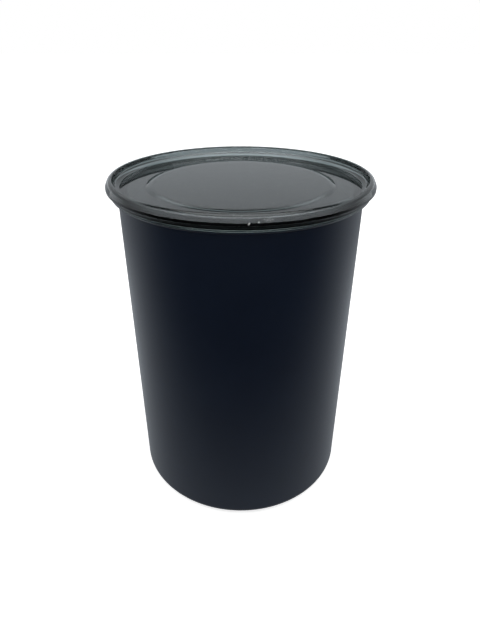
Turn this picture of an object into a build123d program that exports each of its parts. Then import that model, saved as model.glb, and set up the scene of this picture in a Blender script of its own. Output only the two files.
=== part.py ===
"""Coffee canister with a push-down inner lid and a hand-worked air valve.

A drawn steel shell with a rolled rim stands on a stamped base ring. A smoke-tinted outer lid sits on
the rim. Inside slides a plunger lid with a double-lipped wiper gasket. Its bail handle turns an
involute cam: handle flat locks the valve shut, handle upright lets the spring open it.

Units are millimetres. The origin is the centre of the base, on the surface it stands on, +Z up.
"""

from build123d import *
from math import cos, hypot, isclose, radians, sin
import os

# Drawn steel shell
shell_radius = 62.5
shell_height = 176.5
shell_wall = 0.8
base_corner_radius = 4.5
base_ring_width = 5.0
base_recess_depth = 2.0
base_recess_run = 2.0
rim_roll_radius = 1.25

# Smoke-tinted outer lid
lid_overhang = 3.75
lid_wall = 1.8
lid_rim_rise = 5.3
lid_rim_radius = 2.9
lid_rim_width = 3.45
lid_rim_face = 1.55
lid_rim_inner_fillet = 0.5
lid_lip_drop = 0.7
lid_lip_inset = 2.2
lid_lip_wall = 1.2
lid_seat_gap = 0.05
lid_rim_foot_fillet = 3.5
lid_stacking_gap = 2.6
lid_plateau_rise = 0.8
lid_plateau_run = 2.5
lid_plateau_fillet = 8.0
lid_plateau_foot_fillet = 2.0
lid_plug_gap = 1.3
lid_plug_wall = 2.4
lid_plug_depth = 8.5

# Seal ring round the outer lid's plug
lid_seal_height = 2.2
lid_seal_depth = 0.9
lid_seal_from_plug_end = 2.5
lid_seal_lip_height = 0.8

# Running gaps
bore_gap = 0.1
pivot_gap = 0.05
cam_gap = 0.1
seat_gap = 0.05
assembly_gap = 0.2

# Wiper gasket
gasket_height = 6.7
gasket_depth = 5.0
gasket_lip_inset = 0.4
gasket_lip_height = 1.35
gasket_lip_tip = 0.7
gasket_lip_root = 2.0

# Plunger lid, lower moulding
base_plate_inset = 0.4
base_plate_wall = 2.2
base_plate_round = 1.0
spigot_wall = 2.6
spigot_height = 5.0
vent_radius = 2.0
vent_ring_radii_shares = (0.21, 0.35, 0.49)
vent_ring_counts = (6, 12, 18)

# Plunger lid, upper moulding
plunger_gap = 1.7
coaming_wall = 2.4
coaming_height = 14.8
coaming_round = 1.0
ledge_wall = 3.0
deck_wall = 2.2
deck_corner_fillet = 2.0
skirt_wall = 2.0
skirt_end_gap = 1.0
rib_count = 8
rib_thickness = 1.6
rib_height = 4.0

# Poppet stem, its guide and the valve seat
valve_lift = 3.0
stem_radius = 2.4
stem_end_gap = 0.8
stem_collar_width = 1.0
stem_collar_height = 1.3
guide_height = 3.0
guide_wall = 1.6
guide_arm_length = 2.8
guide_arm_width = 2.0
guide_arm_count = 3
seat_wall = 2.0
seat_rise = 1.8

# Spring, seal disc and poppet cap
spring_wire_radius = 0.35
spring_stem_gap = 0.85
spring_retainer_gap = 0.3
spring_turns = 5.0
seal_retainer_wall = 0.7
seal_retainer_height = 1.1
seal_disc_overlap = 1.5
seal_disc_wall = 1.95
poppet_cap_overlap = 1.5
poppet_cap_wall = 2.0
poppet_cap_round = 0.6
follower_radius = 6.0
follower_height = 1.0

# Handle pedestals on the deck
pedestal_cap_gap = 4.0
pedestal_length = 6.0
pedestal_width = 9.0
pedestal_wrap = 0.9

# Valve housing and its screws
housing_pedestal_gap = 2.75
housing_cam_gap = 1.2
housing_wall = 1.8
housing_round = 2.5
housing_slot_gap = 0.35
housing_vent_inset = 13.0
housing_vent_length = 7.0
housing_vent_width = 1.8
housing_vent_count = 12
screw_inset = 6.5
screw_count = 4
screw_shank_radius = 1.0
screw_shank_length = 9.0
screw_head_radius = 2.1
screw_head_height = 1.1
screw_socket_radius = 0.9
screw_socket_depth = 0.7
screw_fit_gap = 0.02
screw_boss_radius = 2.8

# Bail handle and its cam
bail_wire_radius = 1.75
bail_housing_gap = 9.25
bail_arm = 4.0
bail_corner_radius = 4.0
bail_headroom = 2.5
handle_travel = 90.0
cam_wall = 1.45
cam_width = 10.0
cam_overrun_angle = 8.0
cam_point_count = 13

# One overrun serves every cut
cut_overrun = 1.0

# Derived sizes of the shell
bore_radius = shell_radius - shell_wall
roll_centre_radius = bore_radius + rim_roll_radius
roll_centre_height = shell_height - rim_roll_radius
roll_hollow_radius = rim_roll_radius - shell_wall
base_recess_radius = shell_radius - base_corner_radius - base_ring_width - base_recess_run

# Derived sizes of the outer lid
lid_radius = roll_centre_radius + rim_roll_radius + lid_overhang
lid_underside = shell_height + lid_seat_gap
lid_floor = lid_underside + lid_wall
lid_plateau_radius = base_recess_radius - lid_stacking_gap - lid_plateau_run
lid_crest = lid_floor + lid_rim_rise
rim_inner_radius = lid_radius - lid_rim_width
rim_bend_radius = lid_radius - lid_rim_radius
rim_bend_height = lid_crest - lid_rim_radius
rim_face_bottom = rim_bend_height - lid_rim_face
lip_bottom = shell_height - lid_lip_drop
lip_radius = lid_radius - lid_lip_inset
plug_radius = bore_radius - lid_plug_gap
plug_bottom = lid_underside - lid_plug_depth

# Derived radii of the plunger lid, from the bore inwards
plunger_radius = bore_radius - plunger_gap
coaming_bore = plunger_radius - coaming_wall
base_plate_radius = plunger_radius - base_plate_inset
gasket_body_radius = base_plate_radius
skirt_radius = gasket_body_radius - gasket_depth
skirt_bore = skirt_radius - skirt_wall
spigot_radius = skirt_bore - assembly_gap

# Derived radii of the valve, from the stem outwards
guide_bore = stem_radius + assembly_gap
guide_radius = guide_bore + guide_wall
seat_hole_radius = guide_radius + guide_arm_length
seat_radius = seat_hole_radius + seat_wall
stem_collar_radius = stem_radius + stem_collar_width
spring_mean_radius = stem_radius + spring_stem_gap + spring_wire_radius
retainer_bore = spring_mean_radius + spring_wire_radius + spring_retainer_gap
retainer_radius = retainer_bore + seal_retainer_wall
seal_disc_bore = retainer_radius + pivot_gap
seal_disc_radius = seat_radius + seal_disc_overlap
poppet_cap_radius = seal_disc_radius + poppet_cap_overlap

# Derived radii of the pedestals, housing and handle
saddle_radius = bail_wire_radius + pivot_gap
pedestal_offset = poppet_cap_radius + pedestal_cap_gap + pedestal_length / 2
pedestal_reach = hypot(pedestal_offset + pedestal_length / 2, pedestal_width / 2)
housing_radius = pedestal_reach + housing_pedestal_gap + housing_wall
housing_vent_radius = housing_radius - housing_vent_inset
screw_circle_radius = housing_radius - screw_inset
bail_half_width = housing_radius + bail_housing_gap + bail_wire_radius
bail_reach = bail_corner_radius + bail_arm + bail_half_width + bail_wire_radius
cam_small_radius = bail_wire_radius + cam_wall
cam_large_radius = cam_small_radius + valve_lift
cam_rise_rate = valve_lift / radians(handle_travel)

# Heights within the plunger lid, above its own underside
ledge_level = base_plate_wall + gasket_height + 2 * pivot_gap
deck_level = ledge_level + ledge_wall
skirt_level = base_plate_wall + skirt_end_gap
stem_level = base_plate_wall + stem_end_gap
guide_level = stem_level + stem_collar_height + valve_lift + assembly_gap
seat_level = deck_level + deck_wall + seat_rise
cap_level = seat_level + seat_gap + seal_disc_wall
follower_level = cap_level + poppet_cap_wall + follower_height
shaft_level = follower_level + cam_gap + cam_large_radius

# Heights above the base: the plunger rests where its handle can stand up under the lid
rest = lid_underside - bail_headroom - bail_reach - shaft_level
plate_top = rest + base_plate_wall
ledge = rest + ledge_level
deck_underside = rest + deck_level
deck_top = deck_underside + deck_wall
coaming_top = deck_top + coaming_height
stem_bottom = rest + stem_level
guide_bottom = rest + guide_level
seat_height = rest + seat_level
cap_underside = rest + cap_level
cap_top = cap_underside + poppet_cap_wall
follower_top = cap_top + follower_height
shaft_height = rest + shaft_level
housing_bottom = deck_top + pivot_gap
housing_underside = shaft_height + cam_small_radius + housing_cam_gap
housing_top = housing_underside + housing_wall
boss_top = housing_underside - assembly_gap


def on_circle(centre, radius, degrees):
    """A point of a circle in the radius and height plane."""
    angle = radians(degrees)
    return (centre[0] + radius * cos(angle), centre[1] + radius * sin(angle))


def at_height(level):
    """A test that picks the corners of a profile at one height."""
    return lambda corner: isclose(corner.Y, level)


def save(piece, name):
    """Labels a finished piece and writes it as its own STEP file."""
    piece.part.label = name
    export_step(piece.part, f"parts/{name}.step")


os.makedirs("parts", exist_ok=True)

# Canister shell: one drawn sheet, from the stamped base to the rolled rim
roll_centre = (roll_centre_radius, roll_centre_height)
corner_centre = (shell_radius - base_corner_radius, base_corner_radius)
corner_inner_radius = base_corner_radius - shell_wall
with BuildPart() as canister_shell:
    with BuildSketch(Plane.XZ):
        with BuildLine():
            Polyline(
                (0, base_recess_depth),
                (base_recess_radius, base_recess_depth),
                (base_recess_radius + base_recess_run, 0),
                (corner_centre[0], 0),
            )
            ThreePointArc(
                (corner_centre[0], 0),
                on_circle(corner_centre, base_corner_radius, -45),
                (shell_radius, base_corner_radius),
            )
            Line((shell_radius, base_corner_radius), (shell_radius, roll_centre_height))
            # the curl: three quarters of a turn outwards and down
            ThreePointArc(
                (shell_radius, roll_centre_height),
                on_circle(roll_centre, roll_hollow_radius, 45),
                on_circle(roll_centre, roll_hollow_radius, -90),
            )
            Line(
                on_circle(roll_centre, roll_hollow_radius, -90),
                on_circle(roll_centre, rim_roll_radius, -90),
            )
            ThreePointArc(
                on_circle(roll_centre, rim_roll_radius, -90),
                on_circle(roll_centre, rim_roll_radius, 45),
                (bore_radius, roll_centre_height),
            )
            Line((bore_radius, roll_centre_height), (bore_radius, base_corner_radius))
            ThreePointArc(
                (bore_radius, base_corner_radius),
                on_circle(corner_centre, corner_inner_radius, -45),
                (corner_centre[0], shell_wall),
            )
            Polyline(
                (corner_centre[0], shell_wall),
                (base_recess_radius + base_recess_run, shell_wall),
                (base_recess_radius, base_recess_depth + shell_wall),
                (0, base_recess_depth + shell_wall),
                (0, base_recess_depth),
            )
        make_face()
    revolve(axis=Axis.Z)
save(canister_shell, "canister_shell")

# Outer lid: raised centre, sunk annulus, rounded rim, lip over the shell's roll and plug inside it
lip = (lip_radius, lip_bottom)
lip_under = (lip_radius - lid_lip_wall, lip_bottom)
plateau_foot = lid_plateau_radius + lid_plateau_run
plateau_top = lid_floor + lid_plateau_rise
plateau_underside = lid_underside + lid_plateau_rise
seal_bottom = plug_bottom + lid_seal_from_plug_end
seal_top = seal_bottom + lid_seal_height
seal_root_radius = plug_radius - lid_seal_depth
with BuildPart() as outer_lid:
    with BuildSketch(Plane.XZ):
        with BuildLine():
            Polyline(
                (0, plateau_top),
                (lid_plateau_radius, plateau_top),
                (plateau_foot, lid_floor),
                (rim_inner_radius, lid_floor),
                (rim_inner_radius, lid_crest),
                (rim_bend_radius, lid_crest),
            )
            RadiusArc(
                (rim_bend_radius, lid_crest), (lid_radius, rim_bend_height), lid_rim_radius
            )
            Polyline(
                (lid_radius, rim_bend_height),
                (lid_radius, rim_face_bottom),
                lip,
                lip_under,
                (lip_under[0], lid_underside),
                (plug_radius, lid_underside),
                (plug_radius, seal_top),
                (seal_root_radius, seal_top),
                (seal_root_radius, seal_bottom),
                (plug_radius, seal_bottom),
                (plug_radius, plug_bottom),
                (plug_radius - lid_plug_wall, plug_bottom),
                (plug_radius - lid_plug_wall, lid_underside),
                (plateau_foot, lid_underside),
                (lid_plateau_radius, plateau_underside),
                (0, plateau_underside),
                (0, plateau_top),
            )
        make_face()
        rim_foot_corner = vertices().filter_by(at_height(lid_floor)).sort_by(Axis.X)[-1]
        fillet(rim_foot_corner, lid_rim_foot_fillet)
        rim_inner_corner = vertices().filter_by(at_height(lid_crest)).sort_by(Axis.X)[0]
        fillet(rim_inner_corner, lid_rim_inner_fillet)
        plateau_corner = vertices().filter_by(at_height(plateau_top)).sort_by(Axis.X)[-1]
        fillet(plateau_corner, lid_plateau_fillet)
        plateau_foot_corner = vertices().filter_by(at_height(lid_floor)).sort_by(Axis.X)[0]
        fillet(plateau_foot_corner, lid_plateau_foot_fillet)
    revolve(axis=Axis.Z)
save(outer_lid, "outer_lid")

# Seal ring in the plug's groove, with one lip against the shell's wall
seal_lip_radius = bore_radius - bore_gap
seal_middle = (seal_bottom + seal_top) / 2
with BuildPart() as lid_seal:
    with BuildSketch(Plane.XZ):
        with BuildLine():
            Polyline(
                (seal_root_radius, seal_bottom),
                (plug_radius, seal_bottom),
                (seal_lip_radius, seal_middle - lid_seal_lip_height / 2),
                (seal_lip_radius, seal_middle + lid_seal_lip_height / 2),
                (plug_radius, seal_top),
                (seal_root_radius, seal_top),
                close=True,
            )
        make_face()
    revolve(axis=Axis.Z)
save(lid_seal, "lid_seal")

# Plunger lid, upper moulding: deck, coaming, gasket skirt, valve seat, pedestals and screw bosses
screw_places = PolarLocations(screw_circle_radius, screw_count, start_angle=360 / screw_count / 2)
with BuildPart() as inner_lid_deck:
    with BuildSketch(Plane.XZ):
        with BuildLine():
            Polyline(
                (seat_hole_radius, guide_bottom),
                (seat_radius, guide_bottom),
                (seat_radius, deck_underside),
                (skirt_bore, deck_underside),
                (skirt_bore, rest + skirt_level),
                (skirt_radius, rest + skirt_level),
                (skirt_radius, ledge),
                (plunger_radius, ledge),
                (plunger_radius, coaming_top),
                (coaming_bore, coaming_top),
                (coaming_bore, deck_top),
                (seat_radius, deck_top),
                (seat_radius, seat_height),
                (seat_hole_radius, seat_height),
                close=True,
            )
        make_face()
        fillet(vertices().group_by(Axis.Y)[-1], coaming_round)
        deck_corner = vertices().filter_by(at_height(deck_top)).sort_by(Axis.X)[-1]
        fillet(deck_corner, deck_corner_fillet)
    revolve(axis=Axis.Z)
    # stiffening ribs under the deck
    rib_length = skirt_bore - seat_radius + seat_wall / 2 + skirt_wall / 2
    with BuildSketch(Plane.XY.offset(deck_underside - rib_height)):
        with PolarLocations((seat_radius - seat_wall / 2) + rib_length / 2, rib_count):
            Rectangle(rib_length, rib_thickness)
    extrude(amount=rib_height)
    # stem guide: a bush held by arms in the seat's hole
    arm_length = guide_wall / 2 + guide_arm_length + seat_wall / 2
    with BuildSketch(Plane.XY.offset(guide_bottom)):
        with PolarLocations(guide_bore + guide_wall / 2 + arm_length / 2, guide_arm_count):
            Rectangle(arm_length, guide_arm_width)
        Circle(guide_radius)
        Circle(guide_bore, mode=Mode.SUBTRACT)
    extrude(amount=guide_height)
    # pedestals whose open saddles snap round the handle's shaft
    pedestal_height = shaft_height + pedestal_wrap - deck_top
    with BuildSketch(Plane.XY.offset(deck_top)):
        with Locations((-pedestal_offset, 0), (pedestal_offset, 0)):
            Rectangle(pedestal_length, pedestal_width)
    extrude(amount=pedestal_height)
    saddle_length = 2 * pedestal_offset + pedestal_length + cut_overrun
    with BuildSketch(Plane.YZ.offset(-saddle_length / 2)):
        with Locations((0, shaft_height)):
            Circle(saddle_radius)
    extrude(amount=saddle_length, mode=Mode.SUBTRACT)
    # bosses that take the housing screws
    with BuildSketch(Plane.XY.offset(deck_top)):
        with screw_places:
            Circle(screw_boss_radius)
    extrude(amount=boss_top - deck_top)
    with BuildSketch(Plane.XY.offset(boss_top)):
        with screw_places:
            Circle(screw_shank_radius + screw_fit_gap)
    extrude(amount=-screw_shank_length, mode=Mode.SUBTRACT)
save(inner_lid_deck, "inner_lid_deck")

# Plunger lid, lower moulding: vented plate with a spigot that enters the skirt
with BuildPart() as inner_lid_base:
    with BuildSketch(Plane.XZ):
        with BuildLine():
            Polyline(
                (0, rest),
                (base_plate_radius, rest),
                (base_plate_radius, plate_top),
                (spigot_radius, plate_top),
                (spigot_radius, plate_top + spigot_height),
                (spigot_radius - spigot_wall, plate_top + spigot_height),
                (spigot_radius - spigot_wall, plate_top),
                (0, plate_top),
                close=True,
            )
        make_face()
        lower_edge = vertices().group_by(Axis.Y)[0].sort_by(Axis.X)[-1]
        fillet(lower_edge, base_plate_round)
    revolve(axis=Axis.Z)
    with BuildSketch(Plane.XY.offset(rest)):
        for share, count in zip(vent_ring_radii_shares, vent_ring_counts):
            with PolarLocations(share * base_plate_radius, count):
                Circle(vent_radius)
    extrude(amount=base_plate_wall, mode=Mode.SUBTRACT)
save(inner_lid_base, "inner_lid_base")

# Wiper gasket: clamped between the two mouldings, two lips against the shell's wall
gasket_bore = skirt_radius + pivot_gap
gasket_bottom = plate_top + pivot_gap
gasket_top = ledge - pivot_gap
lip_tip_radius = bore_radius - bore_gap
with BuildPart() as wiper_gasket:
    with BuildSketch(Plane.XZ):
        with BuildLine():
            Polyline(
                (gasket_bore, gasket_bottom),
                (gasket_body_radius - gasket_lip_inset, gasket_bottom),
                (lip_tip_radius, gasket_bottom + gasket_lip_height),
                (lip_tip_radius, gasket_bottom + gasket_lip_height + gasket_lip_tip),
                (gasket_body_radius, gasket_bottom + gasket_lip_root),
                (gasket_body_radius, gasket_top - gasket_lip_root),
                (lip_tip_radius, gasket_top - gasket_lip_height - gasket_lip_tip),
                (lip_tip_radius, gasket_top - gasket_lip_height),
                (gasket_body_radius - gasket_lip_inset, gasket_top),
                (gasket_bore, gasket_top),
                close=True,
            )
        make_face()
    revolve(axis=Axis.Z)
save(wiper_gasket, "wiper_gasket")

# Poppet: cap with the cam's follower pad, stem and retaining collar
with BuildPart() as valve_poppet:
    with BuildSketch(Plane.XZ):
        with BuildLine():
            Polyline(
                (0, stem_bottom),
                (stem_collar_radius, stem_bottom),
                (stem_collar_radius, stem_bottom + stem_collar_height),
                (stem_radius, stem_bottom + stem_collar_height),
                (stem_radius, cap_underside),
                (retainer_bore, cap_underside),
                (retainer_bore, cap_underside - seal_retainer_height),
                (retainer_radius, cap_underside - seal_retainer_height),
                (retainer_radius, cap_underside),
                (poppet_cap_radius, cap_underside),
                (poppet_cap_radius, cap_top),
                (follower_radius, cap_top),
                (follower_radius, follower_top),
                (0, follower_top),
                close=True,
            )
        make_face()
        cap_rim = vertices().sort_by(Axis.X)[-2:]
        fillet(cap_rim, poppet_cap_round)
    revolve(axis=Axis.Z)
save(valve_poppet, "valve_poppet")

# Silicone disc that the cap presses onto the seat
with BuildPart() as valve_seal_disc:
    with BuildSketch(Plane.XY.offset(cap_underside)):
        Circle(seal_disc_radius)
        Circle(seal_disc_bore, mode=Mode.SUBTRACT)
    extrude(amount=-seal_disc_wall)
save(valve_seal_disc, "valve_seal_disc")

# Opening spring: from the guide bush to the cap, its end coils cut flat
spring_bottom = guide_bottom + guide_height
spring_height = cap_underside - spring_bottom
with BuildPart() as valve_spring:
    with BuildLine(Plane.XY.offset(spring_bottom)) as coil:
        Helix(
            pitch=spring_height / spring_turns,
            height=spring_height,
            radius=spring_mean_radius,
        )
    with BuildSketch(Plane(origin=coil.line @ 0, z_dir=coil.line % 0)):
        Circle(spring_wire_radius)
    sweep(is_frenet=True)
    trim_size = 2 * spring_mean_radius + 2 * cut_overrun
    with Locations((0, 0, spring_bottom)):
        Box(
            trim_size,
            trim_size,
            spring_height,
            align=(Align.CENTER, Align.CENTER, Align.MIN),
            mode=Mode.INTERSECT,
        )
save(valve_spring, "valve_spring")

# Bail handle: one bent wire, folded flat towards the front
shaft_reach = bail_half_width - bail_corner_radius
loop_front = -(bail_corner_radius + bail_arm)
with BuildPart() as bail_handle:
    with BuildLine(Plane.XY.offset(shaft_height)) as half_loop:
        Line((0, 0), (shaft_reach, 0))
        ThreePointArc(
            (shaft_reach, 0),
            (
                shaft_reach + bail_corner_radius * sin(radians(45)),
                -bail_corner_radius * (1 - cos(radians(45))),
            ),
            (bail_half_width, -bail_corner_radius),
        )
        Line((bail_half_width, -bail_corner_radius), (bail_half_width, loop_front))
        ThreePointArc(
            (bail_half_width, loop_front),
            (
                bail_half_width * cos(radians(45)),
                loop_front - bail_half_width * sin(radians(45)),
            ),
            (0, loop_front - bail_half_width),
        )
    with BuildSketch(Plane(origin=half_loop.line @ 0, z_dir=half_loop.line % 0)):
        Circle(bail_wire_radius)
    sweep()
    mirror(about=Plane.YZ)
save(bail_handle, "bail_handle")


def cam_point(angle):
    """A point of the involute flank whose tangent line lies the given angle round from straight down.

    Its distance from the shaft falls evenly with the angle, so the flat follower rises evenly.
    """
    reach = cam_large_radius - cam_rise_rate * angle
    return (
        reach * sin(angle) - cam_rise_rate * cos(angle),
        -reach * cos(angle) - cam_rise_rate * sin(angle),
    )


# Valve cam: involute lobe on the shaft, pointing down while the handle lies flat
cam_start = -radians(cam_overrun_angle)
cam_end = radians(handle_travel + cam_overrun_angle)
cam_flank = [
    cam_point(cam_start + (cam_end - cam_start) * step / (cam_point_count - 1))
    for step in range(cam_point_count)
]
cam_plane = Plane(origin=(-cam_width / 2, 0, shaft_height), x_dir=(0, 1, 0), z_dir=(1, 0, 0))
with BuildPart() as valve_cam:
    with BuildSketch(cam_plane):
        with BuildLine():
            Spline(*cam_flank)
            Line(cam_flank[-1], (cam_small_radius, 0))
            ThreePointArc((cam_small_radius, 0), (0, cam_small_radius), (-cam_small_radius, 0))
            Line((-cam_small_radius, 0), cam_flank[0])
        make_face()
        Circle(bail_wire_radius, mode=Mode.SUBTRACT)
    extrude(amount=cam_width)
save(valve_cam, "valve_cam")

# Valve housing: vented dome over the cam and poppet, slotted to drop over the shaft
dome_height = housing_top - housing_bottom
slot_width = 2 * (bail_wire_radius + housing_slot_gap)
with BuildPart() as valve_housing:
    with BuildSketch(Plane.XY.offset(housing_bottom)):
        Circle(housing_radius)
    extrude(amount=dome_height)
    fillet(valve_housing.edges().group_by(Axis.Z)[-1], housing_round)
    with BuildSketch(Plane.XY.offset(housing_bottom)):
        Circle(housing_radius - housing_wall)
    extrude(amount=housing_underside - housing_bottom, mode=Mode.SUBTRACT)
    # slots for the shaft, round at the top and open at the bottom
    with BuildSketch(Plane.YZ.offset(-housing_radius - cut_overrun)):
        with Locations((0, shaft_height)):
            Circle(slot_width / 2)
        with Locations((0, (shaft_height + housing_bottom) / 2)):
            Rectangle(slot_width, shaft_height - housing_bottom)
    extrude(amount=2 * (housing_radius + cut_overrun), mode=Mode.SUBTRACT)
    # ring of vent slots in the crown
    with BuildSketch(Plane.XY.offset(housing_underside)):
        with PolarLocations(housing_vent_radius, housing_vent_count):
            SlotOverall(housing_vent_length, housing_vent_width)
    extrude(amount=housing_wall, mode=Mode.SUBTRACT)
    # counterbored screw holes
    with BuildSketch(Plane.XY.offset(housing_underside)):
        with screw_places:
            Circle(screw_shank_radius + assembly_gap)
    extrude(amount=housing_wall, mode=Mode.SUBTRACT)
    with BuildSketch(Plane.XY.offset(housing_top)):
        with screw_places:
            Circle(screw_head_radius + assembly_gap)
    extrude(amount=-screw_head_height, mode=Mode.SUBTRACT)
save(valve_housing, "valve_housing")

# Housing screws: four alike, in one piece file
head_seat = housing_top - screw_head_height
shank_bottom = boss_top - screw_shank_length
with BuildPart() as housing_screws:
    with BuildSketch(Plane.XY.offset(head_seat)):
        with screw_places:
            Circle(screw_head_radius)
    extrude(amount=screw_head_height)
    with BuildSketch(Plane.XY.offset(shank_bottom)):
        with screw_places:
            Circle(screw_shank_radius)
    extrude(amount=head_seat - shank_bottom)
    with BuildSketch(Plane.XY.offset(housing_top)):
        with screw_places:
            RegularPolygon(screw_socket_radius, side_count=6)
    extrude(amount=-screw_socket_depth, mode=Mode.SUBTRACT)
save(housing_screws, "housing_screws")
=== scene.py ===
"""Coffee canister with a smoke-tinted lid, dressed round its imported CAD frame.

Lengths in this script are real millimetres, and MM turns them into Blender's metres.
"""

from math import cos, pi, radians, sin, sqrt, tan

import bmesh
import bpy
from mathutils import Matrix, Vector


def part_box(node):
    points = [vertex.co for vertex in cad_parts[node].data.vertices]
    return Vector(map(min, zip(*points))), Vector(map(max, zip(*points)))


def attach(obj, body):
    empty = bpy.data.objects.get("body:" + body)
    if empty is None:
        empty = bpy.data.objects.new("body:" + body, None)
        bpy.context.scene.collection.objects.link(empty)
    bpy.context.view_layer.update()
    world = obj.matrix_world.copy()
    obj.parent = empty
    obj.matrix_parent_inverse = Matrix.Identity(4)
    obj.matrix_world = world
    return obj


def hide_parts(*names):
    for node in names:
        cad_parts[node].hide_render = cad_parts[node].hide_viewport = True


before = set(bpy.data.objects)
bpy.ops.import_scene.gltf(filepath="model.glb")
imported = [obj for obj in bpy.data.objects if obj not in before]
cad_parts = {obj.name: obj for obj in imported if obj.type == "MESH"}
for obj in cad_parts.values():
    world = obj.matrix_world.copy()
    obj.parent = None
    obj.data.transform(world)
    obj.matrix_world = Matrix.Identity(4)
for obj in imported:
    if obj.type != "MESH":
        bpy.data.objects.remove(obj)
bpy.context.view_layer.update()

MM = 0.001

# Camera: a phone held above and in front of the canister, in millimetres and degrees; its clip in metres
camera_distance = 254.4
camera_height = 246.55
camera_tilt = 59.4
camera_aside = -0.4
camera_lens = 27.675
camera_sensor = 36.0
camera_clip = (0.01, 50)

# Canister shell, in the sizes of its drawn sheet
shell_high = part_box("canister_shell")[1] / MM
sheet_wall = 0.8
rim_roll = 1.25
base_corner = 4.5
base_ring = 5.0
base_recess_depth = 2.0
base_recess_run = 2.0
recess_round = 0.6
shell_top = shell_high.z
roll_outside = shell_high.x
shell_bore = roll_outside - 2 * rim_roll
shell_outside = shell_bore + sheet_wall

# Outer lid, in the sizes of its moulded section
lid_low, lid_high = (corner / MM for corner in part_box("outer_lid"))
lid_wall = 1.8
lid_outside = lid_high.x
lid_top = lid_high.z
rim_round = 2.4
rim_width = 3.45
rim_inner_round = 0.3
rim_draft = 25.0
rim_draft_face = 1.94
rim_bend_foot = lid_top - rim_round + rim_round * sin(radians(rim_draft))
rim_edge = rim_bend_foot - rim_draft_face * cos(radians(rim_draft))
rim_edge_round = 0.15
rim_face = 1.3
rim_face_round = 0.12
# the undercut and the bend into the skirt, each as its depth and drop from the foot of the rim's face
rim_undercut = (1.6, 0.4)
rim_undercut_round = 0.3
skirt_bend = (1.95, 1.35)
skirt_bend_round = 3.0
lip_inset = 2.2
lip_edge_round = 0.12
lip_wall = 1.2
lip_drop = 0.7
seat_gap = 0.05
plateau_radius = 45.9
plateau_run = 2.5
plateau_rise = 0.8
plateau_round = 8.0
plateau_foot_round = 2.0
rim_foot_round = 3.5
plug_gap = 1.3
plug_wall = 2.4
plug_edge_round = 0.4
underside_round = 0.3

# Wear and painted glints of the lid, in millimetres: the dust's spacing, each speck's share of it, and the
# nicked spots on the rim's outer face, painted white as their glints, each as its distance across, height
# and reach
dust_spacing = 4.5
dust_share = 0.04
painted_nick_glints = (
    (2.95, 179.95, 0.18),
    (3.15, 180.25, 0.24),
    (3.4, 180.55, 0.2),
    (7.1, 180.8, 0.25),
    (9.2, 181.7, 0.14),
    (9.9, 181.2, 0.12),
    (10.6, 181.5, 0.16),
    (11.4, 181.8, 0.13),
    (11.7, 181.1, 0.12),
    (12.6, 181.5, 0.15),
)

# Floor, in metres from the canister: how it darkens in gloss towards the viewer and away all round
floor_side = 12
floor_seen_level = 0.7
floor_gloss_dim = 0.02
floor_gloss_run = (-0.25, 0.25)
floor_fade_run = (0.12, 0.45)
floor_fade_levels = (1.0, 0.45)
floor_gloss_colour = (0.93, 1.0, 1.07, 1)

# Surround: levels in gloss by the height of the heading, in front and behind. In front it is dark low
# down, then a wall, a strip light and a ceiling. Behind it is a pale wall with a dark band high up
surround_front = (
    (0, 0.003), (0.05, 0.02), (0.15, 0.2), (0.3, 0.33), (0.52, 0.36),
    (0.58, 0.95), (0.74, 0.95), (0.84, 0.35), (1, 0.28),
)
surround_front_gain = 6.0
surround_back = (
    (0, 1.0), (0.08, 1.0), (0.2, 0.62), (0.38, 0.62), (0.5, 1.0),
    (0.62, 1.0), (0.72, 0.1), (0.88, 0.1), (0.94, 0.9), (1, 0.9),
)
surround_run = (-0.7, 0.45)
surround_seen_level = 1.0
surround_light = 0.55
surround_gloss_colour = (0.94, 1.0, 1.05, 1)

# Lamps, in metres and watts
lamp_target = (0, 0, 0.1)
overhead_place = (0, 0.1, 1.1)
overhead_size, overhead_power = 0.9, 3.5
side_place = (0.9, 0.2, 0.55)
side_size, side_power = 0.6, 2.0

ROUND_STEPS = 288
ARC_STEP_DEGREES = 5.0
ON_AXIS = 1e-7
PATTERN_MIDDLE = (0.3, 0.7)
WHITE = (1, 1, 1, 1)


def linear(hex_colour):
    """The linear RGBA of an sRGB hex colour such as "1a1c1f"."""
    channels = [int(hex_colour[i : i + 2], 16) / 255 for i in (0, 2, 4)]
    curve = lambda c: c / 12.92 if c <= 0.04045 else ((c + 0.055) / 1.055) ** 2.4
    return (*[curve(c) for c in channels], 1.0)


def add(tree, kind, inputs=(), **settings):
    """Adds a node with its settings, and with each input linked to a socket or set to a value."""
    node = tree.nodes.new(kind)
    for name, value in settings.items():
        setattr(node, name, value)
    for name, value in dict(inputs).items():
        if isinstance(value, bpy.types.NodeSocket):
            tree.links.new(value, node.inputs[name])
        else:
            node.inputs[name].default_value = value
    return node


def new_material(name):
    """An empty node material and its tree."""
    material = bpy.data.materials.new(name)
    material.use_nodes = True
    tree = material.node_tree
    tree.nodes.clear()
    return material, tree


def per_mm(size):
    """The scale of a texture in object coordinates whose features are this many millimetres across."""
    return 1 / (size * MM)


def surface(tree, shader, volume=None):
    """Links a shader, and a volume if there is one, to the material's output."""
    output = add(tree, "ShaderNodeOutputMaterial", {"Surface": shader.outputs[0]})
    if volume:
        tree.links.new(volume.outputs[0], output.inputs["Volume"])


def speckle(tree, size, detail=2.0, roughness=0.5):
    """A noise pattern in object coordinates, with features of this size in millimetres."""
    place = add(tree, "ShaderNodeTexCoord")
    return add(
        tree,
        "ShaderNodeTexNoise",
        {
            "Vector": place.outputs["Object"],
            "Scale": per_mm(size),
            "Detail": detail,
            "Roughness": roughness,
        },
    ).outputs["Fac"]


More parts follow.
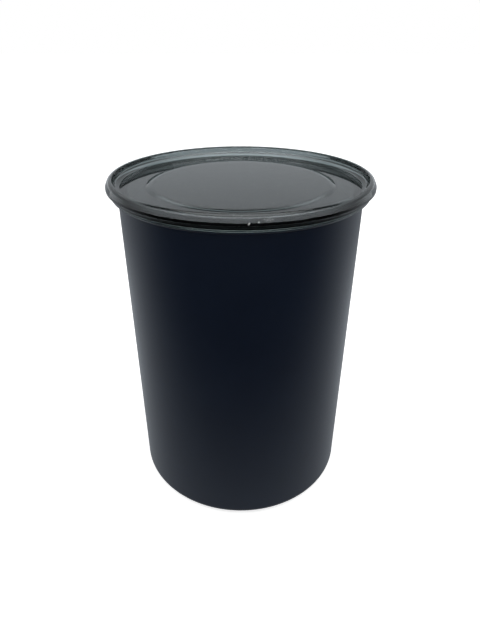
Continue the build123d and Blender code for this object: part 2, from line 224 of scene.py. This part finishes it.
def remap(tree, value, run, levels, **settings):
    """Maps a number from a run to levels, each a pair of ends."""
    return add(
        tree,
        "ShaderNodeMapRange",
        {
            "Value": value,
            "From Min": run[0],
            "From Max": run[1],
            "To Min": levels[0],
            "To Max": levels[1],
        },
        **settings,
    ).outputs[0]


def spread(tree, value, low, high):
    """Maps a pattern's middle range to the range from low to high."""
    return remap(tree, value, PATTERN_MIDDLE, (low, high))


def tones(tree, value, dark, light):
    """A colour between two hex tones, by a pattern."""
    return add(
        tree,
        "ShaderNodeMix",
        {0: spread(tree, value, 0, 1), 6: linear(dark), 7: linear(light)},
        data_type="RGBA",
    ).outputs[2]


def bump(tree, height, depth, strength=1.0):
    """A bump of this depth in millimetres from a pattern."""
    return add(
        tree,
        "ShaderNodeBump",
        {"Height": height, "Distance": depth * MM, "Strength": strength},
    ).outputs["Normal"]


def maths(tree, operation, first, second):
    """One arithmetic operation on two numbers, each a socket or a value."""
    return add(tree, "ShaderNodeMath", {0: first, 1: second}, operation=operation).outputs[0]


def length(tree, place, centre=(0, 0, 0)):
    """How far a place is from a centre."""
    node = add(tree, "ShaderNodeVectorMath", {0: place, 1: centre}, operation="DISTANCE")
    return node.outputs["Value"]


def dust_and_painted_glints(tree):
    """A mask, 1 on the painted glints of the rim's nicked front and on fine dust inside the rim, and 0
    elsewhere.
    """
    place = add(tree, "ShaderNodeTexCoord").outputs["Object"]
    cells = add(tree, "ShaderNodeTexVoronoi", {"Vector": place, "Scale": per_mm(dust_spacing)})
    dust = maths(tree, "LESS_THAN", cells.outputs["Distance"], dust_share)
    flat = add(tree, "ShaderNodeVectorMath", {0: place, 1: (1, 1, 0)}, operation="MULTIPLY").outputs[0]
    within = maths(tree, "LESS_THAN", length(tree, flat), (lid_outside - rim_width) * MM)
    mask = maths(tree, "MULTIPLY", dust, within)
    # each nicked spot is a small white disc of painted glint
    for across, height, reach in painted_nick_glints:
        out = lid_outside - max(height - rim_edge, 0) * tan(radians(rim_draft))
        centre = Vector((across, -sqrt(out**2 - across**2), height)) * MM
        painted_glint = maths(tree, "LESS_THAN", length(tree, place, centre), reach * MM)
        mask = maths(tree, "MAXIMUM", mask, painted_glint)
    return mask


def powder_coated_steel():
    """Polyester powder coat on drawn steel: a matt blue-black with a fine even grain."""
    material, tree = new_material("powder_coated_steel")
    grain = speckle(tree, 0.7, detail=3.0, roughness=0.6)
    cloud = speckle(tree, 22.0)
    shader = add(
        tree,
        "ShaderNodeBsdfPrincipled",
        {
            "Base Color": tones(tree, cloud, "040e1f", "061122"),
            "Roughness": spread(tree, grain, 0.3, 0.37),
            "IOR": 1.5,
            "Normal": bump(tree, grain, depth=0.02, strength=0.5),
        },
    )
    surface(tree, shader)
    return material


def smoke_tinted_plastic():
    """Injection-moulded clear SAN with a smoke tint: glossy, grey-green where it is seen against light."""
    material, tree = new_material("smoke_tinted_plastic")
    haze = speckle(tree, 9.0, detail=3.0)
    # where the mask is 1 the plastic turns opaque white: real dust specks, and painted glints on the
    # nicked rim
    clear = maths(tree, "SUBTRACT", 1.0, dust_and_painted_glints(tree))
    shader = add(
        tree,
        "ShaderNodeBsdfPrincipled",
        {
            "Base Color": linear("f4f8f6"),
            "Roughness": spread(tree, haze, 0.02, 0.05),
            "IOR": 1.5,
            "Transmission Weight": clear,
        },
    )
    tint = add(
        tree,
        "ShaderNodeVolumeAbsorption",
        {"Color": linear("9ea8a8"), "Density": 500.0},
    )
    surface(tree, shader, tint)
    return material


def black_silicone():
    """Compression-moulded black silicone: soft satin with a trace of bloom."""
    material, tree = new_material("black_silicone")
    bloom = speckle(tree, 6.0, detail=3.0)
    shader = add(
        tree,
        "ShaderNodeBsdfPrincipled",
        {
            "Base Color": tones(tree, bloom, "141517", "1d1f21"),
            "Roughness": spread(tree, bloom, 0.5, 0.62),
            "IOR": 1.41,
            "Normal": bump(tree, speckle(tree, 0.8), depth=0.01, strength=0.4),
        },
    )
    surface(tree, shader)
    return material


def moulded_polypropylene():
    """Black polypropylene from a spark-eroded mould: satin, with a pebbled grain."""
    material, tree = new_material("moulded_polypropylene")
    pebble = speckle(tree, 0.6)
    flow = speckle(tree, 30.0)
    shader = add(
        tree,
        "ShaderNodeBsdfPrincipled",
        {
            "Base Color": tones(tree, flow, "17181a", "1e2022"),
            "Roughness": spread(tree, pebble, 0.38, 0.5),
            "IOR": 1.49,
            "Normal": bump(tree, pebble, depth=0.02, strength=0.5),
        },
    )
    surface(tree, shader)
    return material


def natural_acetal():
    """Natural acetal, moulded smooth: a dense ivory white that lets a little light in."""
    material, tree = new_material("natural_acetal")
    flow = speckle(tree, 4.0)
    shader = add(
        tree,
        "ShaderNodeBsdfPrincipled",
        {
            "Base Color": tones(tree, flow, "d9d7cd", "e4e2d9"),
            "Roughness": spread(tree, flow, 0.25, 0.33),
            "IOR": 1.48,
            "Subsurface Weight": 0.15,
            "Subsurface Scale": 1.5 * MM,
        },
    )
    surface(tree, shader)
    return material


def clear_silicone():
    """Translucent food-grade silicone, milky and satin."""
    material, tree = new_material("clear_silicone")
    bloom = speckle(tree, 3.0)
    shader = add(
        tree,
        "ShaderNodeBsdfPrincipled",
        {
            "Base Color": tones(tree, bloom, "b9bfbd", "c8cecb"),
            "Roughness": spread(tree, bloom, 0.35, 0.45),
            "IOR": 1.41,
            "Subsurface Weight": 0.4,
            "Subsurface Scale": 2.0 * MM,
        },
    )
    surface(tree, shader)
    return material


def drawn_stainless_wire():
    """Drawn and tumbled stainless wire: bright, with a soft and slightly uneven sheen."""
    material, tree = new_material("drawn_stainless_wire")
    wear = speckle(tree, 1.5, detail=4.0)
    shader = add(
        tree,
        "ShaderNodeBsdfPrincipled",
        {
            "Base Color": tones(tree, wear, "b9b8b4", "cbcac6"),
            "Metallic": 1.0,
            "Roughness": spread(tree, wear, 0.16, 0.26),
            "Normal": bump(tree, wear, depth=0.004, strength=0.3),
        },
    )
    surface(tree, shader)
    return material


def headed_stainless():
    """Cold-headed stainless screws: slightly greyer and rougher than the wire."""
    material, tree = new_material("headed_stainless")
    wear = speckle(tree, 0.8, detail=4.0)
    shader = add(
        tree,
        "ShaderNodeBsdfPrincipled",
        {
            "Base Color": tones(tree, wear, "a3a29e", "b7b6b2"),
            "Metallic": 1.0,
            "Roughness": spread(tree, wear, 0.24, 0.36),
        },
    )
    surface(tree, shader)
    return material


def rounded(corners):
    """A closed outline whose corners (radius, height, rounding) are turned into tangent arcs."""
    outline = []
    for before, corner, after in zip(corners[-1:] + corners[:-1], corners, corners[1:] + corners[:1]):
        here = Vector(corner[:2])
        if corner[2] == 0:
            outline.append(here)
            continue
        inward = (Vector(before[:2]) - here).normalized()
        onward = (Vector(after[:2]) - here).normalized()
        turn = pi - inward.angle(onward)
        reach = corner[2] * tan(turn / 2)
        middle = (inward + onward).normalized()
        centre = here + middle * (corner[2] / cos(turn / 2))
        first = here + inward * reach - centre
        last = here + onward * reach - centre
        side = 1 if first.x * last.y - first.y * last.x > 0 else -1
        steps = max(4, round(turn / radians(ARC_STEP_DEGREES)))
        for step in range(steps + 1):
            angle = side * turn * step / steps
            outline.append(
                centre
                + Vector(
                    (
                        first.x * cos(angle) - first.y * sin(angle),
                        first.x * sin(angle) + first.y * cos(angle),
                    )
                )
            )
    return outline


def arc(centre, radius, start, end):
    """Points of an arc, from the start angle to the end angle in degrees, with no rounding."""
    steps = max(3, round(abs(end - start) / ARC_STEP_DEGREES))
    angles = [radians(start + (end - start) * step / steps) for step in range(steps + 1)]
    return [(centre[0] + radius * cos(a), centre[1] + radius * sin(a), 0) for a in angles]


def turned(name, outline, material):
    """A closed solid of revolution about the canister's axis, from an outline in millimetres."""
    mesh = bpy.data.meshes.new(name)
    build = bmesh.new()
    rings = []
    for point in outline:
        radius, height = point[0] * MM, point[1] * MM
        if radius < ON_AXIS:
            rings.append([build.verts.new((0, 0, height))])
            continue
        turns = [2 * pi * k / ROUND_STEPS for k in range(ROUND_STEPS)]
        rings.append([build.verts.new((radius * cos(a), radius * sin(a), height)) for a in turns])
    for ring, following in zip(rings, rings[1:] + rings[:1]):
        if len(ring) == 1 and len(following) == 1:
            continue
        for k in range(ROUND_STEPS):
            corners = [
                ring[k % len(ring)],
                ring[(k + 1) % len(ring)],
                following[(k + 1) % len(following)],
                following[k % len(following)],
            ]
            build.faces.new(list(dict.fromkeys(corners)))
    bmesh.ops.recalc_face_normals(build, faces=build.faces)
    build.to_mesh(mesh)
    build.free()
    piece = bpy.data.objects.new(name, mesh)
    bpy.context.scene.collection.objects.link(piece)
    piece.data.materials.append(material)
    smooth(piece)
    return piece


def smooth(piece):
    """Shades a piece smoothly, with its flat faces kept flat."""
    for face in piece.data.polygons:
        face.use_smooth = True
    weights = piece.modifiers.new("flat_faces", "WEIGHTED_NORMAL")
    weights.mode = "FACE_AREA_WITH_ANGLE"
    weights.keep_sharp = True


def stands_for(piece, node, body):
    """Lets a piece ride on a body in place of a CAD node, which it hides."""
    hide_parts(node)
    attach(piece, body)


def shell(material):
    """The drawn shell: stamped base, rounded corner, straight wall and rolled rim."""
    roll = (shell_bore + rim_roll, shell_top - rim_roll)
    hollow = rim_roll - sheet_wall
    corner = (shell_outside - base_corner, base_corner)
    ring_inside = corner[0] - base_ring
    recess = ring_inside - base_recess_run
    outline = rounded(
        [
            (0, base_recess_depth, 0),
            (recess, base_recess_depth, recess_round),
            (ring_inside, 0, recess_round),
            *arc(corner, base_corner, -90, 0),
            *arc(roll, hollow, 180, -90),
            *arc(roll, rim_roll, -90, 180),
            *arc(corner, base_corner - sheet_wall, 0, -90),
            (ring_inside, sheet_wall, recess_round),
            (recess, base_recess_depth + sheet_wall, recess_round),
            (0, base_recess_depth + sheet_wall, 0),
        ]
    )
    stands_for(turned("coated_shell", outline, material), "canister_shell", "canister")


def tinted_lid(material):
    """The moulded outer lid: raised centre, sunk ring, drafted rim with an undercut, lip and plug."""
    underside = shell_top + seat_gap
    floor = underside + lid_wall
    draft = radians(rim_draft)
    bend = (lid_outside - rim_draft_face * sin(draft) - rim_round * cos(draft), lid_top - rim_round)
    inside = lid_outside - rim_width
    face_foot = rim_edge - rim_face
    lip = (lid_outside - lip_inset, shell_top - lip_drop)
    lip_under = (lip[0] - lip_wall, lip[1])
    plug = shell_bore - plug_gap
    step = plateau_radius + plateau_run
    outline = rounded(
        [
            (0, floor + plateau_rise, 0),
            (plateau_radius, floor + plateau_rise, plateau_round),
            (step, floor, plateau_foot_round),
            (inside, floor, rim_foot_round),
            (inside, lid_top, rim_inner_round),
            *arc(bend, rim_round, 90, rim_draft),
            (lid_outside, rim_edge, rim_edge_round),
            (lid_outside, face_foot, rim_face_round),
            (lid_outside - rim_undercut[0], face_foot - rim_undercut[1], rim_undercut_round),
            (lid_outside - skirt_bend[0], face_foot - skirt_bend[1], skirt_bend_round),
            (*lip, lip_edge_round),
            (*lip_under, underside_round),
            (lip_under[0], underside, underside_round),
            (plug, underside, underside_round),
            (plug, lid_low.z, plug_edge_round),
            (plug - plug_wall, lid_low.z, plug_edge_round),
            (plug - plug_wall, underside, plug_edge_round),
            (step, underside, plateau_round),
            (plateau_radius, underside + plateau_rise, plateau_round),
            (0, underside + plateau_rise, 0),
        ]
    )
    stands_for(turned("smoke_lid", outline, material), "outer_lid", "outer_cover")


def finish_cad_nodes(finishes):
    """Gives each CAD node that stays its real finish."""
    for node, material in finishes.items():
        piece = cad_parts[node]
        piece.data.materials.clear()
        piece.data.materials.append(material)
        smooth(piece)


def seen_level(tree, rays, along, run, near_level, far_level, direct_level):
    """How bright a surround is: in gloss from the near level to the far one along a run, else direct."""
    in_gloss = remap(tree, along, run, (near_level, far_level), interpolation_type="SMOOTHSTEP")
    return add(
        tree,
        "ShaderNodeMix",
        {0: rays.outputs["Is Glossy Ray"], 2: direct_level, 3: in_gloss},
    ).outputs[0]


def seen_colour(tree, rays, in_gloss):
    """The surround's colour: white to the camera and in glass, and its own in gloss."""
    return add(
        tree,
        "ShaderNodeMix",
        {0: rays.outputs["Is Glossy Ray"], 6: WHITE, 7: in_gloss},
        data_type="RGBA",
    ).outputs[2]


def level_curve(tree, value, levels):
    """A level read off a curve through (value, level) points."""
    node = add(tree, "ShaderNodeFloatCurve", {"Value": value})
    curve = node.mapping.curves[0]
    curve.points[0].location = levels[0]
    curve.points[1].location = levels[-1]
    for point in levels[1:-1]:
        curve.points.new(*point)
    node.mapping.update()
    return node.outputs[0]


def pale_floor():
    """Pale card, white to the camera and in glass, grey in gloss, and plain card to the object's light."""
    material, tree = new_material("pale_floor")
    rays = add(tree, "ShaderNodeLightPath")
    place = add(tree, "ShaderNodeTexCoord").outputs["Object"]
    along = add(tree, "ShaderNodeSeparateXYZ", {0: place}).outputs["Y"]
    fade = remap(tree, length(tree, place), floor_fade_run, floor_fade_levels)
    direct = maths(tree, "MAXIMUM", rays.outputs["Is Camera Ray"], rays.outputs["Is Transmission Ray"])
    seen = maths(tree, "MAXIMUM", direct, rays.outputs["Is Glossy Ray"])
    card = add(tree, "ShaderNodeBsdfDiffuse", {"Color": linear("e6e6e6")})
    level = seen_level(tree, rays, along, floor_gloss_run, floor_gloss_dim, fade, floor_seen_level)
    glow = add(
        tree,
        "ShaderNodeEmission",
        {"Color": seen_colour(tree, rays, floor_gloss_colour), "Strength": level},
    )
    # only what the camera and glass see adds the card's own shaded colour, which holds the shadow
    lit = add(tree, "ShaderNodeAddShader", {0: card.outputs[0], 1: glow.outputs[0]})
    white = add(
        tree,
        "ShaderNodeMixShader",
        {0: rays.outputs["Is Glossy Ray"], 1: lit.outputs[0], 2: glow.outputs[0]},
    )
    shader = add(
        tree,
        "ShaderNodeMixShader",
        {0: seen, 1: card.outputs[0], 2: white.outputs[0]},
    )
    surface(tree, shader)
    return material


def studio():
    """A plain pale floor, a surround that is white to the camera, and soft lamps."""
    bpy.ops.mesh.primitive_plane_add(size=floor_side)
    floor = bpy.context.object
    floor.name = "floor"
    floor.data.materials.append(pale_floor())

    world = bpy.data.worlds.new("surround")
    bpy.context.scene.world = world
    world.use_nodes = True
    tree = world.node_tree
    tree.nodes.clear()
    rays = add(tree, "ShaderNodeLightPath")
    heading = add(tree, "ShaderNodeTexCoord").outputs["Generated"]
    parts = add(tree, "ShaderNodeSeparateXYZ", {0: heading}).outputs
    front = maths(tree, "MULTIPLY", level_curve(tree, parts["Z"], surround_front), surround_front_gain)
    back = level_curve(tree, parts["Z"], surround_back)
    level = seen_level(tree, rays, parts["Y"], surround_run, front, back, surround_seen_level)
    strength = add(
        tree,
        "ShaderNodeMix",
        {0: rays.outputs["Is Diffuse Ray"], 2: level, 3: surround_light},
    ).outputs[0]
    glow = add(
        tree,
        "ShaderNodeBackground",
        {"Color": seen_colour(tree, rays, surround_gloss_colour), "Strength": strength},
    )
    add(tree, "ShaderNodeOutputWorld", {"Surface": glow.outputs[0]})

    soft_lamp("overhead_lamp", overhead_place, overhead_size, overhead_power)
    for name, side in (("left_lamp", -1), ("right_lamp", 1)):
        place = (side * side_place[0], *side_place[1:])
        soft_lamp(name, place, side_size, side_power).visible_glossy = False


def soft_lamp(name, place, size, power):
    """A square soft box that faces the canister."""
    data = bpy.data.lights.new(name, "AREA")
    data.size = size
    data.energy = power
    lamp = bpy.data.objects.new(name, data)
    bpy.context.scene.collection.objects.link(lamp)
    lamp.location = place
    lamp.rotation_mode = "QUATERNION"
    lamp.rotation_quaternion = (Vector(lamp_target) - Vector(place)).to_track_quat("-Z", "Y")
    return lamp


def camera():
    """The viewpoint, above and in front of the canister."""
    data = bpy.data.cameras.new("photo_camera")
    data.sensor_width = camera_sensor
    data.lens = camera_lens
    data.clip_start, data.clip_end = camera_clip
    eye = bpy.data.objects.new("photo_camera", data)
    bpy.context.scene.collection.objects.link(eye)
    eye.location = (camera_aside * MM, -camera_distance * MM, camera_height * MM)
    eye.rotation_euler = (radians(camera_tilt), 0, 0)
    bpy.context.scene.camera = eye


bpy.context.scene.view_settings.view_transform = "Standard"
camera()
studio()
coat = powder_coated_steel()
gasket = black_silicone()
plastic = moulded_polypropylene()
acetal = natural_acetal()
wire = drawn_stainless_wire()
shell(coat)
tinted_lid(smoke_tinted_plastic())
finish_cad_nodes(
    {
        "lid_seal": gasket,
        "inner_lid_deck": plastic,
        "inner_lid_base": plastic,
        "valve_housing": plastic,
        "wiper_gasket": gasket,
        "housing_screws": headed_stainless(),
        "valve_spring": wire,
        "bail_handle": wire,
        "valve_cam": acetal,
        "valve_poppet": acetal,
        "valve_seal_disc": clear_silicone(),
    }
)

bpy.context.view_layer.update()
